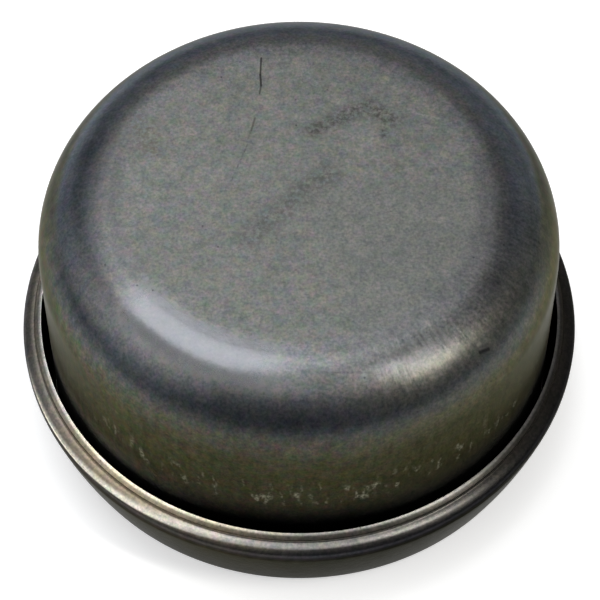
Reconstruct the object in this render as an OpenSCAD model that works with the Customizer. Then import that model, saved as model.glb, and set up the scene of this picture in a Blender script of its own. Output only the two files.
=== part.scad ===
/* [Collar] */
// Widest diameter of the collar, the diameter that is pressed into the hub
collar_d = 54.4; // [46:0.1:66]
// Distance from the top of the cup's wall out to the widest diameter, on each side
collar_reach = 2.8; // [2.4:0.05:3.4]
// Length of the straight band at the widest diameter
press_land = 0.4; // [0.2:0.1:1]
// Height of the middle of that band above the rim
press_h = 7.75; // [6:0.05:9.5]
// Bulge radius of the lead-in below the band, much larger than the collar is high
lead_in_r = 55; // [30:1:200]
// Outside radius of the shoulder, right above the band
shoulder_r = 0.75; // [0.7:0.05:1]
// Outside radius of the flatter ledge inwards of the shoulder
ledge_r = 1.7; // [1.3:0.05:2]
// Slope of the surface where the shoulder runs over into the ledge, in degrees
ledge_slope = 40; // [30:1:50]

/* [Cup] */
// Overall height, from the folded rim to the flat top
height = 27.8; // [22:0.1:40]
// Draft of the wall on each side, opening towards the rim, in degrees
draft = 0.8; // [0:0.1:1.1]
// Outside radius of the corner between the flat top and the wall
corner_r = 7; // [3:0.1:12]
// Thickness of the sheet, the same all over
sheet_t = 0.6; // [0.45:0.05:0.65]

/* [Folded rim] */
// Clearance left between the two layers where the sheet folds back on itself
fold_gap = 0.1; // [0.04:0.02:0.3]

/* [Cut edge] */
// Clearance between the wall of the cup, at the height of the band, and the upturned edge
edge_gap = 0.72; // [0.5:0.02:0.9]
// Radius of the crease between the ledge and the outside of the upturned edge
crease_r = 0.25; // [0.15:0.05:0.35]
// Height to which the edge stands straight up above the crease
edge_rise = 0.45; // [0.45:0.05:1.5]
// Width of the smooth, sheared part of the cut edge
shear_w = 0.28; // [0.15:0.01:0.4]
// Slope of the sheared part, which falls away outwards, in degrees
shear_slope = 20; // [0:1:25]
// Depth of the torn slope outwards of the sheared part
tear_h = 0.25; // [0.1:0.05:0.3]

/* [Hidden] */

// Most that a chord of the section lies inside its true arc, and number of sides in the preview
curve_tol = 0.003;
turn_fn = 180;

// The section is drawn in the (radius, height) plane: every point here is [radius, height].
function along(angle, length) = length * [cos(angle), sin(angle)];

// Corner between the top and the wall. The wall leaves it where its outward normal points up by the draft.
// The cup stands inside the collar, so its diameter follows from the collar's.
cup_d = collar_d - 2 * collar_reach;
corner_c = [cup_d / 2 - corner_r, height - corner_r];
wall_top = corner_c + along(draft, corner_r);

// Fold at the rim: both faces of the sheet are concentric with it, and its lowest point is at height 0.
fold_in_r = fold_gap / 2;
fold_out_r = fold_in_r + sheet_t;
wall_l = (wall_top[1] + fold_in_r * sin(draft) - fold_out_r) / cos(draft);
fold_c = wall_top + along(draft - 90, wall_l) + along(draft, fold_in_r);

// Band at the widest diameter, with a round of shoulder_r at each end
band_x = collar_d / 2 - shoulder_r;
band_low_c = [band_x, press_h - press_land / 2];
band_high_c = [band_x, press_h + press_land / 2];

// Centre of the lead-in bulge, which is tangent to the fold and to the round below the band:
// the third corner of a triangle whose base runs from the fold to that round.
to_fold = lead_in_r - fold_out_r;
to_band = lead_in_r - shoulder_r;
base = band_low_c - fold_c;
foot = (pow(to_fold, 2) - pow(to_band, 2) + base * base) / (2 * norm(base));
apex = sqrt(pow(to_fold, 2) - pow(foot, 2));
lead_in_c = fold_c + (foot * base + apex * [-base[1], base[0]]) / norm(base);
lead_in_low = atan2(fold_c[1] - lead_in_c[1], fold_c[0] - lead_in_c[0]);
lead_in_high = atan2(band_low_c[1] - lead_in_c[1], band_low_c[0] - lead_in_c[0]);

// Ledge: the same sheet, running on from the shoulder on a larger radius
shoulder_end = 90 - ledge_slope;
ledge_c = band_high_c + along(shoulder_end, shoulder_r - ledge_r);

// Upturned edge, a fixed clearance away from the wall, and the crease at its foot, tangent to the ledge
edge_in = wall_top[0] + (wall_top[1] - press_h) * tan(draft) + edge_gap;
edge_out = edge_in + sheet_t;
crease_x = edge_out + crease_r;
crease_rise = sqrt(pow(ledge_r + crease_r, 2) - pow(crease_x - ledge_c[0], 2));
crease_c = [crease_x, ledge_c[1] + crease_rise];
ledge_end = atan2(crease_rise, crease_x - ledge_c[0]);
edge_h = crease_c[1] + edge_rise;
shear_end = [edge_in + shear_w, edge_h - shear_w * tan(shear_slope)];

// Bends of the sheet, in order from the top to the cut edge. Each is its centre, the radius of the
// cup's outer face, that of its inner face, and the angles between which it runs. The straight
// stretches are what joins them. In the collar the cup's inner face has come to the outside.
BENDS = [
    [corner_c, corner_r, corner_r - sheet_t, 90, draft],
    [fold_c, fold_in_r, fold_out_r, 180 + draft, 270],
    [fold_c, fold_in_r, fold_out_r, 270, 360 + lead_in_low],
    [lead_in_c, lead_in_r - sheet_t, lead_in_r, lead_in_low, lead_in_high],
    [band_low_c, shoulder_r - sheet_t, shoulder_r, lead_in_high, 0],
    [band_high_c, shoulder_r - sheet_t, shoulder_r, 0, shoulder_end],
    [ledge_c, ledge_r - sheet_t, ledge_r, shoulder_end, ledge_end],
    [crease_c, crease_r + sheet_t, crease_r, 180 + ledge_end, 180]
];

// Points of an arc, close enough together for curve_tol
function arc_steps(r, sweep) = ceil(abs(sweep) / (2 * acos(1 - min(curve_tol / r, 0.5))));
function arc(centre, r, from, to) =
    let (n = arc_steps(r, to - from))
    [for (i = [0:n]) centre + along(from + (to - from) * i / n, r)];

function reversed(points) = [for (i = [len(points) - 1:-1:0]) points[i]];

// One sheet, drawn to a cup, folded outwards at the rim and brought back up around it as a collar
module grease_cap() {
    outer_face = [for (b = BENDS) each arc(b[0], b[1], b[3], b[4])];
    inner_face = [for (b = BENDS) each arc(b[0], b[2], b[3], b[4])];
    cut_edge = [[edge_in, edge_h], shear_end, [edge_out, shear_end[1] - tear_h]];
    centre_line = [[0, height - sheet_t], [0, height]];
    color("dimgray")
        rotate_extrude($fn = turn_fn)
            polygon(concat(centre_line, outer_face, cut_edge, reversed(inner_face)));
}

grease_cap();
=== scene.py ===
import math
import bpy
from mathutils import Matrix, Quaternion, Vector


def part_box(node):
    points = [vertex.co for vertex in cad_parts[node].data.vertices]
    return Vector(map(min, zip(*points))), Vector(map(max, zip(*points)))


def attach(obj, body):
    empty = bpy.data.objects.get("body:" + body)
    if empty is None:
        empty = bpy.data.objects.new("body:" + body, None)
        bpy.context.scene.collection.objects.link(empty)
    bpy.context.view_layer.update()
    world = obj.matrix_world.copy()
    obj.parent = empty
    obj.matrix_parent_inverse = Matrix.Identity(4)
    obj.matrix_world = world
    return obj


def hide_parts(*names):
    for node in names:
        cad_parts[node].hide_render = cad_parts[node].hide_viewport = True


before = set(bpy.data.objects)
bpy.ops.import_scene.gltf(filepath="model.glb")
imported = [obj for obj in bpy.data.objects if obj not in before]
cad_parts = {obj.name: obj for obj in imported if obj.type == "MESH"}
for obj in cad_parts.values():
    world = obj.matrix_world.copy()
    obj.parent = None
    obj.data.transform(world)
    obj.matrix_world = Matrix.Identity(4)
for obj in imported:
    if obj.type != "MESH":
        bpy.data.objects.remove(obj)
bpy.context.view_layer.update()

MM = 0.001

# The grease cap: one sheet of bare steel, drawn to a cup, folded outwards at its open rim and
# brought back up around the wall as a collar. The collar's widest band is pressed into the hub,
# and its cut edge stands up beside the wall, across a narrow gap.
low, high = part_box("grease_cap")
CAP_H = high.z
BAND_R = high.x
CUP_R = BAND_R - 2.8 * MM
SHEET = 0.6 * MM
DRAFT = math.radians(0.8)
CORNER_R = 7 * MM
FOLD_R = 0.05 * MM
BAND_H = 7.75 * MM
BAND_HALF = 0.2 * MM
LEAD_IN_R = 55 * MM
SHOULDER_R = 0.75 * MM
LEDGE_R = 1.7 * MM
LEDGE_FROM = math.radians(50)
EDGE_GAP = 0.72 * MM
CREASE_R = 0.25 * MM
EDGE_RISE = 0.45 * MM
LIP_R = 0.05 * MM
SHEAR_W = 0.28 * MM
SHEAR_SLOPE = math.radians(20)
TEAR_H = 0.25 * MM
# How far a bend turns from one point to the next. The bulge of the lead-in is drawn finer.
BEND_STEP = math.radians(4)
BULGE_STEP = math.radians(1.4)
# Directions in the section
RIGHT = 0.0
UP = math.radians(90)
LEFT = math.radians(180)


def along(angle, length):
    return Vector((length * math.cos(angle), length * math.sin(angle)))


def angle_of(v):
    return math.atan2(v.y, v.x)


def arc(centre, radius, start, end):
    """Points of a bend in the section, which is drawn as (distance from the axis, height)."""
    most = BULGE_STEP if radius > LEAD_IN_R / 2 else BEND_STEP
    n = max(2, math.ceil(abs(end - start) / most))
    return [centre + along(start + (end - start) * i / n, radius) for i in range(n + 1)]


def third_corner(a, b, from_a, from_b):
    """The point at the given distances from a and from b, on the left going from a to b."""
    base = b - a
    foot_shade_and_light = (from_a**2 - from_b**2 + base.length_squared) / (2 * base.length)
    side = Vector((-base.y, base.x)) / base.length
    return a + foot_shade_and_light * base.normalized() + math.sqrt(from_a**2 - foot_shade_and_light**2) * side


def cap_section():
    """The outline of the sheet, from the middle of the top round both faces and back."""
    corner = Vector((CUP_R - CORNER_R, CAP_H - CORNER_R))
    wall_top = corner + along(DRAFT, CORNER_R)
    fold_out = FOLD_R + SHEET
    wall_l = (wall_top.y + FOLD_R * math.sin(DRAFT) - fold_out) / math.cos(DRAFT)
    fold = wall_top + along(DRAFT - UP, wall_l) + along(DRAFT, FOLD_R)
    band_low = Vector((BAND_R - SHOULDER_R, BAND_H - BAND_HALF))
    band_high = Vector((BAND_R - SHOULDER_R, BAND_H + BAND_HALF))
    bulge = third_corner(fold, band_low, LEAD_IN_R - fold_out, LEAD_IN_R - SHOULDER_R)
    bulge_low = angle_of(fold - bulge)
    bulge_high = angle_of(band_low - bulge)
    ledge = band_high + along(LEDGE_FROM, SHOULDER_R - LEDGE_R)
    edge_in = wall_top.x + (wall_top.y - BAND_H) * math.tan(DRAFT) + EDGE_GAP
    edge_out = edge_in + SHEET
    crease_x = edge_out + CREASE_R
    rise = math.sqrt((LEDGE_R + CREASE_R) ** 2 - (crease_x - ledge.x) ** 2)
    crease = Vector((crease_x, ledge.y + rise))
    ledge_to = angle_of(crease - ledge)
    # Each bend: its centre, the radius of the cup's outer face and of its inner face, and its angles
    bends = [
        (corner, CORNER_R, CORNER_R - SHEET, UP, DRAFT),
        (fold, FOLD_R, fold_out, LEFT + DRAFT, 2 * LEFT + bulge_low),
        (bulge, LEAD_IN_R - SHEET, LEAD_IN_R, bulge_low, bulge_high),
        (band_low, SHOULDER_R - SHEET, SHOULDER_R, bulge_high, RIGHT),
        (band_high, SHOULDER_R - SHEET, SHOULDER_R, RIGHT, LEDGE_FROM),
        (ledge, LEDGE_R - SHEET, LEDGE_R, LEDGE_FROM, ledge_to),
        (crease, CREASE_R + SHEET, CREASE_R, LEFT + ledge_to, LEFT),
    ]
    outer = [point for centre, r, _, a, b in bends for point in arc(centre, r, a, b)]
    inner = [point for centre, _, r, a, b in bends for point in arc(centre, r, a, b)]
    top = crease.y + EDGE_RISE
    shear_end = Vector((edge_in + SHEAR_W, top - SHEAR_W * math.tan(SHEAR_SLOPE)))
    lip_h = top - LIP_R * (1 / math.cos(SHEAR_SLOPE) + math.tan(SHEAR_SLOPE))
    lip = arc(Vector((edge_in + LIP_R, lip_h)), LIP_R, LEFT, UP - SHEAR_SLOPE)
    lip += [shear_end, shear_end + Vector((edge_out - shear_end.x, -TEAR_H))]
    return [Vector((0, CAP_H))] + outer + lip + inner[::-1] + [Vector((0, CAP_H - SHEET))]


# The facets round the cap, lengths under which two points are one, and the least angle of a sharp
# edge
TURNS = 288
ONE_POINT = 1e-7
MERGED = 1e-6
SHARP = math.radians(32)


def turned(name, section):
    """Draws the section as a chain of edges, one extrude for each point, and spins it round."""
    bpy.ops.object.select_all(action="DESELECT")
    bpy.ops.mesh.primitive_plane_add(size=MM)
    piece = bpy.context.object
    piece.name = piece.data.name = name
    bpy.ops.object.mode_set(mode="EDIT")
    bpy.ops.mesh.select_all(action="SELECT")
    bpy.ops.mesh.merge(type="CENTER")
    last = section[0]
    bpy.ops.transform.translate(value=(last.x, 0, last.y))
    for point in section[1:]:
        move = point - last
        if move.length < ONE_POINT:
            continue
        bpy.ops.mesh.extrude_region_move(TRANSFORM_OT_translate={"value": (move.x, 0, move.y)})
        last = point
    bpy.ops.mesh.select_all(action="SELECT")
    bpy.ops.mesh.spin(steps=TURNS, angle=2 * math.pi, center=(0, 0, 0), axis=(0, 0, 1))
    bpy.ops.mesh.select_all(action="SELECT")
    bpy.ops.mesh.remove_doubles(threshold=MERGED)
    bpy.ops.mesh.dissolve_degenerate(threshold=ONE_POINT)
    bpy.ops.mesh.select_all(action="SELECT")
    bpy.ops.mesh.normals_make_consistent(inside=False)
    bpy.ops.object.mode_set(mode="OBJECT")
    bpy.ops.object.shade_smooth_by_angle(angle=SHARP)
    return piece


cap = turned("cap_sheet", cap_section())

# The steel is bare and faintly oily: a grey top, a smoky blue band on the corner that is painted
# shade, an olive brown wall and skirt, and a burnished cut edge. Painted light and shade are put
# into the colour in several more places below. All places are in millimetres, and all angles round
# the cap are in radians.
steel = bpy.data.materials.new("drawn_steel")
steel.use_nodes = True
tree = steel.node_tree
shader = tree.nodes["Principled BSDF"]
shader.inputs["Metallic"].default_value = 1.0
shader.inputs["Specular Tint"].default_value = (0.47, 0.47, 0.45, 1)


def node(kind, *inputs, **settings):
    """Adds a node to the steel. An input is a value, or the output of another node."""
    made = tree.nodes.new("ShaderNode" + kind)
    for name, value in settings.items():
        setattr(made, name, value)
    for socket, value in zip([s for s in made.inputs if s.enabled], inputs):
        if isinstance(value, bpy.types.NodeSocket):
            tree.links.new(value, socket)
        else:
            socket.default_value = value
    return next(s for s in made.outputs if s.enabled)


def maths(operation, *inputs):
    return node("Math", *inputs, operation=operation)


def vectors(operation, *inputs):
    return node("VectorMath", *inputs, operation=operation)


def times(first, *others):
    for other in others:
        first = maths("MULTIPLY", first, other)
    return first


def step(value, start, end, low=0.0, high=1.0):
    """Runs smoothly from low to high while the value runs from start to end."""
    return node("MapRange", value, start, end, low, high, interpolation_type="SMOOTHSTEP")


def span(value, start, full, fading, end):
    """One while the value is between full and fading, and nothing before start and after end."""
    return times(step(value, start, full), step(value, end, fading))


def mix(amount, first, second):
    return node("Mix", amount, first, second, data_type="RGBA")


def scaled(tone, amount):
    return vectors("SCALE", tone, amount)


def tinted(tone, where, tint):
    return mix(where, tone, vectors("MULTIPLY", tone, tint))


def shaded(tone, where, amount):
    """The tone times the amount, and the tone itself in the other places."""
    return scaled(tone, mix(where, (1, 1, 1, 1), amount))


def noise(place, scale, detail, roughness):
    made = tree.nodes.new("ShaderNodeTexNoise")
    tree.links.new(place, made.inputs["Vector"])
    made.inputs["Scale"].default_value = scale
    made.inputs["Detail"].default_value = detail
    made.inputs["Roughness"].default_value = roughness
    return made.outputs["Fac"], made.outputs["Color"]


def tones(value, stops):
    """The colour at a value, between stops of (value, colour)."""
    made = tree.nodes.new("ShaderNodeValToRGB")
    tree.links.new(value, made.inputs[0])
    ends = made.color_ramp.elements
    for end, (where, colour) in zip((ends[0], ends[1]), (stops[0], stops[-1])):
        end.position, end.color = where, (*colour, 1)
    for where, colour in stops[1:-1]:
        ends.new(where).color = (*colour, 1)
    return made.outputs[0]


coords = tree.nodes.new("ShaderNodeTexCoord").outputs["Object"]
mm = scaled(coords, 1 / MM)
split = tree.nodes.new("ShaderNodeSeparateXYZ")
tree.links.new(mm, split.inputs[0])
x, y, z = split.outputs
plan = node("CombineXYZ", x, y, 0.0)
radius = vectors("LENGTH", plan)
# The angle is nought at the front and negative at the left. Its seam is at the back, where all that
# is worked out from it fades to the same value from both sides.
angle = maths("ARCTAN2", x, maths("MULTIPLY", y, -1.0))
from_front = maths("ABSOLUTE", angle)
not_back = step(from_front, 2.9, 2.0)

# The cup, by its height as a share of the whole. The smoky blue band on the corner below the top is
# painted shade, and the wall grows darker towards its foot. At the front right the ramp is shifted
# down, which moves the painted shade band lower so that the lit corner reaches further down.
TOP_TONE = (0.140, 0.144, 0.136)
OLIVE_TINT = (1.06, 1.02, 0.88)
BLUE_TINT = (0.91, 1.0, 1.15)
BROWN_TINT = (0.86, 0.80, 0.60)
SHADE_BAND_DROP = 0.55
band_drop = times(span(angle, 0.0, 0.35, 0.9, 1.3), SHADE_BAND_DROP)
cup_tone = tones(maths("DIVIDE", maths("ADD", z, band_drop), CAP_H / MM), [
    (0.36, (0.027, 0.027, 0.025)),
    (0.46, (0.031, 0.029, 0.019)),
    (0.62, (0.036, 0.035, 0.020)),
    (0.75, (0.044, 0.043, 0.027)),
    (0.84, (0.056, 0.057, 0.044)),
    (0.88, (0.056, 0.061, 0.064)),
    (0.915, (0.068, 0.076, 0.087)),
    (0.945, (0.118, 0.124, 0.129)),
    (0.972, (0.146, 0.148, 0.149)),
    (0.985, (0.134, 0.136, 0.137)),
    (0.996, (0.130, 0.131, 0.133)),
    (1.0, (0.150, 0.152, 0.153)),
])
# Next to the top, the corner is darkened at its right and its far left: painted shade that keeps the
# highlight from reaching so far.
right_corner_shade = times(span(angle, -0.2, 0.1, 1.5, 2.1), 0.22)
left_corner_shade = times(span(angle, -2.2, -1.7, -1.1, -0.8), 0.36)
corner_shade = times(maths("ADD", right_corner_shade, left_corner_shade), step(z, 26.6, 27.4))
cup_tone = scaled(cup_tone, maths("SUBTRACT", 1.0, corner_shade))
# At its front right it is more olive.
front_right = span(angle, 0.1, 0.5, 1.4, 1.9)
cup_tone = tinted(cup_tone, times(front_right, span(z, 20.0, 23.0, 26.4, 27.4)), OLIVE_TINT)
# At the sides and the back it is bluer next to the top, and browner further down.
around = step(from_front, 1.0, 1.6)
cup_tone = tinted(cup_tone, times(around, span(z, 25.6, 26.3, 27.4, 27.75)), BLUE_TINT)
cup_tone = tinted(cup_tone, times(around, span(z, 20.0, 22.0, 25.4, 26.3)), BROWN_TINT)
# The flat top is an even grey, made a little lighter towards the back by painted light.
flat = step(radius, 17.2, 15.4)
cup_tone = mix(flat, cup_tone, scaled(TOP_TONE, step(y, -10.0, 8.0, 0.95, 1.10)))
# At the foot of the wall the tone is darkened at the front, which is painted shade, and lightened at
# the sides and the back, which is painted light.
foot_shade_and_light = maths("MAXIMUM", step(angle, -0.95, -0.15, 3.4, 0.45), step(angle, 0.1, 0.6, 0.45, 1.9))
foot_shade_and_light = step(not_back, 0.0, 1.0, 1.3, foot_shade_and_light)
foot_shade_and_light = step(z, 10.0, 14.0, foot_shade_and_light, 1.0)
# The wall is lightened at its left and right, and at the far left below the top of the corner:
# painted light.
side_light = times(step(angle, -0.2, -1.1, 1.0, 1.75), step(angle, 0.4, 1.4, 1.0, 1.75))
side_light = maths("MULTIPLY_ADD", maths("SUBTRACT", side_light, 1.0), step(z, 25.5, 23.5), 1.0)
left_corner_light = times(step(angle, -1.1, -1.4, 0.0, 0.35), not_back)
side_light = maths("MULTIPLY_ADD", left_corner_light, step(z, 27.5, 26.5), side_light)
cup_tone = scaled(cup_tone, times(foot_shade_and_light, side_light))

# The inside of the cup is an even grey, cleaner than the outside. It ends at the middle of the
# sheet, which is told by how far a place lies past the middle of the corner. The flat top and
# the wall run on from the corner, and the wall leans out by its draft.
INSIDE_TONE = (0.150, 0.148, 0.138, 1)
CORNER_X = (CUP_R - CORNER_R) / MM
CORNER_Z = (CAP_H - CORNER_R) / MM
MID_SHEET = (CORNER_R - SHEET / 2) / MM
past = node("CombineXYZ", maths("SUBTRACT", radius, CORNER_X), maths("SUBTRACT", z, CORNER_Z), 0.0)
past = vectors("LENGTH", vectors("MAXIMUM", past, (0, 0, 0)))
lean = times(maths("MAXIMUM", maths("SUBTRACT", CORNER_Z, z), 0.0), math.tan(DRAFT))
inside = step(maths("SUBTRACT", past, lean), MID_SHEET + 0.05, MID_SHEET - 0.05)
not_inside = maths("SUBTRACT", 1.0, inside)
cup_tone = mix(inside, cup_tone, INSIDE_TONE)

# The collar, by its height as a share of COLLAR_H: a dark skirt that grows darker towards its bottom
# edge, in part painted shade, a lighter shoulder and ledge, and the bright cut edge
COLLAR_H = 10.0
OILY_TINT = (1.14, 1.04, 0.86)
# Tones of the painted highlight on the shoulder and on the ledge
SHOULDER_HIGHLIGHT = (0.95, 0.89, 0.76, 1)
LEDGE_HIGHLIGHT = (0.26, 0.25, 0.235, 1)
collar_tone = tones(maths("DIVIDE", z, COLLAR_H), [
    (0.0, (0.010, 0.010, 0.008)),
    (0.3, (0.018, 0.018, 0.014)),
    (0.72, (0.026, 0.026, 0.018)),
    (0.80, (0.028, 0.027, 0.031)),
    (0.84, (0.060, 0.060, 0.065)),
    (0.865, (0.105, 0.100, 0.094)),
    (0.90, (0.095, 0.085, 0.070)),
    (0.92, (0.170, 0.155, 0.130)),
    (0.947, (0.190, 0.180, 0.160)),
    (0.951, (0.480, 0.470, 0.440)),
])
# It is darkened towards its right, which is painted shade, and lightened at its far left, which is
# painted light.
right_shade = step(not_back, 0.0, 1.0, 0.5, step(angle, -0.7, 0.9))
collar_tone = scaled(collar_tone, maths("MULTIPLY_ADD", right_shade, -0.72, 1.0))
far_left_light = times(step(angle, -0.9, -1.3, 0.0, 0.3), not_back)
collar_tone = scaled(collar_tone, maths("ADD", far_left_light, 1.0))
# Its front left has a warm, oily tinge, and a ledge lightened by painted light.
tinge = span(angle, -1.25, -0.8, -0.3, 0.1)
collar_tone = tinted(collar_tone, tinge, OILY_TINT)
ledge_light = times(tinge, step(z, 8.4, 8.7, 0.0, 0.5))
collar_tone = scaled(collar_tone, maths("ADD", ledge_light, 1.0))
# A painted highlight runs from the shoulder at the left up to the ledge at the front.
above = maths("SUBTRACT", z, step(angle, -1.15, -0.1, 8.36, 8.82))
painted_highlight = times(span(above, -0.14, -0.03, 0.0, 0.3), span(angle, -1.4, -1.0, 0.0, 0.9), 0.95)
highlight_tone = mix(step(angle, -0.8, -0.1), SHOULDER_HIGHLIGHT, LEDGE_HIGHLIGHT)
collar_tone = mix(painted_highlight, collar_tone, highlight_tone)
# The collar begins in the gap between the wall and the cut edge.
on_collar = step(radius, 24.95, 25.1)
skirt = times(on_collar, step(z, 8.0, 7.0))
tone = mix(on_collar, cup_tone, collar_tone)

# Sheet grain: fine specks, some of them blue and brown, in larger soft clouds. They are paler at
# the front right and on the collar.
FINE_PER_MM = 3.8
COARSE_PER_MM = 1.1
CLOUDS_PER_MM = 0.25
fine, fine_tint = noise(mm, FINE_PER_MM, 2.0, 0.6)
coarse, coarse_tint = noise(mm, COARSE_PER_MM, 3.0, 0.6)
clouds, _ = noise(mm, CLOUDS_PER_MM, 3.0, 0.55)
grain = times(maths("MULTIPLY_ADD", fine, 1.15, 0.43), maths("MULTIPLY_ADD", coarse, 0.5, 0.75))
grain = times(grain, maths("MULTIPLY_ADD", clouds, 0.4, 0.8))
specks = vectors("MULTIPLY_ADD", fine_tint, (0.2, 0.2, 0.2), (0.9, 0.9, 0.9))
colourful = times(step(z, 26.5, 23.0, 0.55, 1.0), maths("MULTIPLY_ADD", front_right, -0.5, 1.0))
colourful = times(colourful, maths("MULTIPLY_ADD", on_collar, -0.6, 1.0))
colourful = node("CombineXYZ", colourful, colourful, colourful)
blotches = vectors("SUBTRACT", coarse_tint, (0.5, 0.5, 0.5))
specks = vectors("MULTIPLY", specks, vectors("MULTIPLY_ADD", blotches, colourful, (1, 1, 1)))
# A patch at the front left of the corner was drawn smooth over the die. It has a ragged outline,
# and less grain.
SMOOTH_TONE = (0.111, 0.113, 0.120, 1)
ragged = maths("MULTIPLY_ADD", fine, 1.2, -0.6)
patch = step(maths("ADD", radius, ragged), 16.3, 16.9)
patch = times(patch, step(maths("MULTIPLY_ADD", ragged, 1.6, z), 26.7, 27.4))
patch = times(patch, span(angle, -1.05, -0.75, -0.3, 0.05), not_inside)
tone = mix(patch, tone, SMOOTH_TONE)
rough = maths("MULTIPLY_ADD", patch, -0.75, 1.0)
tone = tinted(tone, rough, specks)
tone = scaled(tone, maths("MULTIPLY_ADD", maths("SUBTRACT", grain, 1.0), rough, 1.0))
# The skirt is mottled.
tone = shaded(tone, skirt, maths("MULTIPLY_ADD", coarse, 1.4, 0.3))

# Marks of the die: faint streaks up the wall, and stronger ones where it rubbed the front right
# of the corner
drawn, _ = noise(node("CombineXYZ", x, y, times(z, 0.2)), 1.7, 3.0, 0.6)
drawn_here = span(z, 9.0, 12.0, 24.5, 26.8)
outwards = scaled(plan, maths("DIVIDE", 2 * CUP_R / MM, radius))
down = node("CombineXYZ", 0.0, 0.0, times(maths("SUBTRACT", radius, z), 0.5))
rubbed, _ = noise(vectors("ADD", outwards, down), 1.0, 3.0, 0.6)
rubbed_here = times(span(angle, 0.1, 0.4, 1.2, 2.0), step(z, 25.0, 25.8), step(radius, 17.0, 19.0))
tone = shaded(tone, drawn_here, maths("MULTIPLY_ADD", drawn, 0.6, 0.7))
tone = shaded(tone, rubbed_here, maths("MULTIPLY_ADD", rubbed, 1.1, 0.5))

# Bright flecks low on the wall, where the sheet stuck to the die and tore
FLECK_TONE = (0.22, 0.215, 0.16, 1)
fleck, _ = noise(vectors("MULTIPLY", mm, (1.5, 1.5, 0.6)), 1.0, 1.0, 0.5)
bunch, _ = noise(vectors("MULTIPLY", mm, (0.45, 0.45, 0.0)), 1.0, 2.0, 0.5)
fleck = times(step(fleck, 0.56, 0.74), step(bunch, 0.34, 0.52), step(fine, 0.3, 0.65))
fleck = times(fleck, span(z, 13.0, 13.8, 15.0, 18.0), not_inside)
tone = mix(times(fleck, 0.7), tone, FLECK_TONE)

# Pits in the surface, of which only some cells have one
PITS_PER_MM = 0.7
PIT_TONE = (0.025, 0.025, 0.028, 1)
pits = tree.nodes.new("ShaderNodeTexVoronoi")
tree.links.new(mm, pits.inputs["Vector"])
pits.inputs["Scale"].default_value = PITS_PER_MM
pit_chance = node("SeparateColor", pits.outputs["Color"])
pit = times(step(pits.outputs["Distance"], 0.11, 0.03), step(pit_chance, 0.66, 0.90))
tone = mix(times(pit, 0.7), tone, PIT_TONE)


def stroke(start, end, reach, soft):
    """A mark along a line, seen from above. It is full within reach, and fades over soft."""
    start = Vector((*start, 0))
    way = Vector((*end, 0)) - start
    here = vectors("DOT_PRODUCT", vectors("SUBTRACT", plan, start), way)
    here = node("Clamp", maths("DIVIDE", here, way.length_squared), 0.0, 1.0)
    nearest = vectors("ADD", scaled(way, here), start)
    return step(vectors("DISTANCE", plan, nearest), reach + soft, reach)


# Scratches and smudges from handling, on the top and the corner
on_top = times(step(z, 24.3, 25.2), not_inside)
blots, _ = noise(mm, 2.2, 3.0, 0.7)
blots = step(blots, 0.38, 0.66)
MARKS = [
    # start, end, reach, soft, strength, blotted, colour
    ((-3.53, 16.0), (-3.60, 13.9), 0.03, 0.11, 0.85, False, (0.020, 0.020, 0.018, 1)),
    ((-3.60, 13.9), (-3.52, 12.6), 0.04, 0.12, 0.9, False, (0.020, 0.020, 0.018, 1)),
    ((-3.52, 12.6), (-3.66, 11.6), 0.02, 0.11, 0.7, False, (0.030, 0.030, 0.028, 1)),
    ((-4.05, 8.7), (-4.4, 7.2), 0.02, 0.13, 0.6, False, (0.040, 0.032, 0.028, 1)),
    ((-4.4, 7.2), (-4.7, 6.2), 0.01, 0.1, 0.3, False, (0.040, 0.040, 0.040, 1)),
    ((-4.75, 5.5), (-6.3, 1.0), 0.02, 0.13, 0.7, True, (0.045, 0.045, 0.045, 1)),
    ((10.6, 9.4), (11.6, 9.0), 0.02, 0.12, 0.6, True, (0.30, 0.30, 0.28, 1)),
    ((11.6, 9.0), (13.1, 8.6), 0.02, 0.12, 0.6, True, (0.30, 0.30, 0.28, 1)),
    ((1.2, -13.6), (4.0, -15.9), 0.02, 0.1, 0.35, True, (0.20, 0.20, 0.20, 1)),
    ((1.8, -19.2), (6.4, -19.1), 0.02, 0.12, 0.6, True, (0.04, 0.04, 0.045, 1)),
    ((1.4, 7.2), (5.2, 9.4), 0.2, 1.3, 0.85, True, (0.055, 0.055, 0.052, 1)),
    ((6.6, 10.0), (8.6, 8.4), 0.3, 1.3, 0.85, True, (0.050, 0.050, 0.046, 1)),
    ((7.9, 7.0), (8.1, 6.3), 0.1, 0.6, 0.9, True, (0.050, 0.050, 0.048, 1)),
    ((-4.4, -4.9), (2.6, 2.2), 0.3, 1.8, 0.8, True, (0.070, 0.072, 0.068, 1)),
    ((-14.6, 7.8), (-13.6, 5.2), 0.4, 1.8, 0.6, True, (0.078, 0.074, 0.060, 1)),
    ((15.7, -15.5), (15.9, -15.3), 0.03, 0.18, 0.7, False, (0.30, 0.29, 0.25, 1)),
    ((15.9, -15.95), (16.7, -15.45), 0.03, 0.2, 0.8, False, (0.020, 0.020, 0.022, 1)),
]
for start, end, reach, soft, strength, blotted, colour in MARKS:
    mark = times(stroke(start, end, reach, soft), on_top, strength)
    if blotted:
        mark = times(mark, blots)
    tone = mix(mark, tone, colour)
tree.links.new(tone, shader.inputs["Base Color"])

# The flat top is the roughest, and the smooth patch the glossiest.
gloss = maths("MULTIPLY_ADD", flat, 0.14, maths("MULTIPLY_ADD", fine, 0.10, 0.24))
gloss = maths("ADD", gloss, maths("MULTIPLY_ADD", patch, -0.12, times(clouds, 0.10)))
tree.links.new(gloss, shader.inputs["Roughness"])

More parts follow.
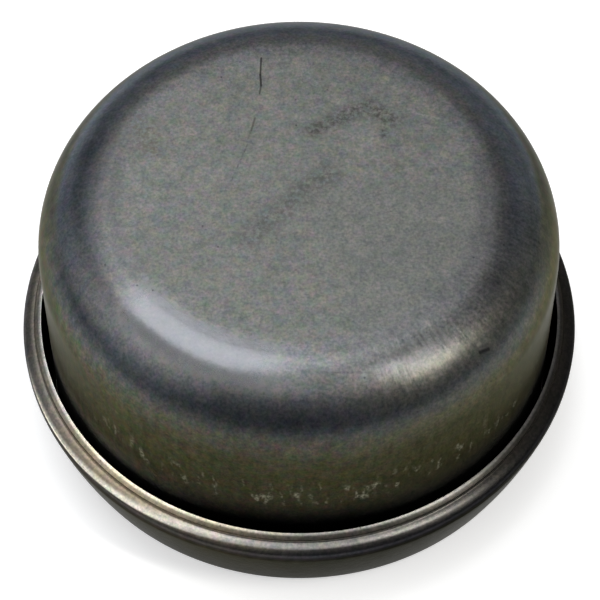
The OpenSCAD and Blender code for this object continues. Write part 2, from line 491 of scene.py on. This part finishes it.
# The grain and the die's marks can just be felt, most of all on the skirt.
uneven = maths("MULTIPLY_ADD", skirt, 1.6, 0.6)
relief = maths("ADD", times(coarse, uneven), times(drawn, drawn_here))
relief = maths("ADD", relief, times(fine, skirt, 1.6))
relief = maths("ADD", relief, times(rubbed, rubbed_here))
bump = tree.nodes.new("ShaderNodeBump")
bump.inputs["Strength"].default_value = 0.5
bump.inputs["Distance"].default_value = 0.03 * MM
tree.links.new(relief, bump.inputs["Height"])
tree.links.new(bump.outputs[0], shader.inputs["Normal"])

cap.data.materials.append(steel)
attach(cap, "root")
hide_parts("grease_cap")

# The floor: a plain white board. The lens and mirror-like surfaces see it white, and it keeps the
# shadow that the cap throws.
FLOOR_SIDE = 4
BOARD_TONE = (0.8, 0.8, 0.8, 1)
BOARD_GLOW = 0.45
bpy.ops.object.select_all(action="DESELECT")
bpy.ops.mesh.primitive_plane_add(size=FLOOR_SIDE)
floor = bpy.context.object
floor.name = "floor"
board = bpy.data.materials.new("white_board")
board.use_nodes = True
board_nodes, board_links = board.node_tree.nodes, board.node_tree.links
board_nodes.remove(board_nodes["Principled BSDF"])
matt = board_nodes.new("ShaderNodeBsdfDiffuse")
matt.inputs["Color"].default_value = BOARD_TONE
rays = board_nodes.new("ShaderNodeLightPath")
seen = rays.outputs["Is Camera Ray"]
for kind in ("Is Glossy Ray", "Is Transmission Ray"):
    either = board_nodes.new("ShaderNodeMath")
    either.operation = "MAXIMUM"
    board_links.new(seen, either.inputs[0])
    board_links.new(rays.outputs[kind], either.inputs[1])
    seen = either.outputs[0]
strength = board_nodes.new("ShaderNodeMath")
strength.operation = "MULTIPLY"
strength.inputs[1].default_value = BOARD_GLOW
board_links.new(seen, strength.inputs[0])
glow = board_nodes.new("ShaderNodeEmission")
board_links.new(strength.outputs[0], glow.inputs["Strength"])
both = board_nodes.new("ShaderNodeAddShader")
board_links.new(matt.outputs[0], both.inputs[0])
board_links.new(glow.outputs[0], both.inputs[1])
board_links.new(both.outputs[0], board_nodes["Material Output"].inputs["Surface"])
floor.data.materials.append(board)

# The studio: a dim grey room with five soft boxes. Two hang overhead, one stands at the left, a
# narrow one at the right, and a low and dim one behind.
ROOM_TONE = (0.2, 0.2, 0.205, 1)
LAMP_FAR = 0.6
world = bpy.data.worlds.new("studio")
bpy.context.scene.world = world
world.use_nodes = True
world.node_tree.nodes["Background"].inputs["Color"].default_value = ROOM_TONE
world.node_tree.nodes["Background"].inputs["Strength"].default_value = 1.0


def soft_box(name, direction, size, watts, colour):
    lamp = bpy.data.lights.new(name, "AREA")
    lamp.shape = "RECTANGLE"
    lamp.size, lamp.size_y = size
    lamp.energy = watts
    lamp.color = colour
    holder = bpy.data.objects.new(name, lamp)
    bpy.context.scene.collection.objects.link(holder)
    towards = Vector(direction).normalized()
    holder.location = towards * LAMP_FAR
    holder.rotation_euler = towards.to_track_quat("Z", "Y").to_euler()


soft_box("ceiling_box", (-0.27, 0.08, 0.96), (0.8, 0.7), 1.9, (1, 1, 1))
soft_box("overhead_box", (-0.20, 0.245, 0.947), (0.34, 0.34), 1.15, (0.95, 0.975, 1))
soft_box("left_box", (-0.8, -0.2, 0.5), (0.6, 0.4), 0.58, (1, 1, 1))
soft_box("right_box", (0.50, -0.26, 0.826), (0.05, 0.36), 1.12, (1, 0.98, 0.93))
soft_box("back_box", (0.25, 0.86, 0.44), (0.9, 0.22), 0.19, (1, 1, 1))

# The camera stands in front of the cap and looks down on it. It is rolled by a hair, and shifted to
# put the cap where the photograph has it.
LENS = 128.96
SENSOR = 36
SHIFT = (0.0015, 0.00573)
CAMERA_UP = math.radians(56.19)
CAMERA_FAR = 211.2 * MM
CAMERA_AIM = Vector((0, 0, 9.6 * MM))
CAMERA_ROLL = -0.0036
CLIP = (0.01, 10)
camera_data = bpy.data.cameras.new("camera")
camera_data.lens = LENS
camera_data.sensor_width = SENSOR
camera_data.shift_x, camera_data.shift_y = SHIFT
camera_data.clip_start, camera_data.clip_end = CLIP
camera = bpy.data.objects.new("camera", camera_data)
bpy.context.scene.collection.objects.link(camera)
back = Vector((0, -math.cos(CAMERA_UP), math.sin(CAMERA_UP)))
camera.location = CAMERA_AIM + back * CAMERA_FAR
turn = back.to_track_quat("Z", "Y") @ Quaternion((0, 0, 1), CAMERA_ROLL)
camera.rotation_euler = turn.to_euler()
bpy.context.scene.camera = camera

bpy.context.scene.view_settings.view_transform = "Standard"
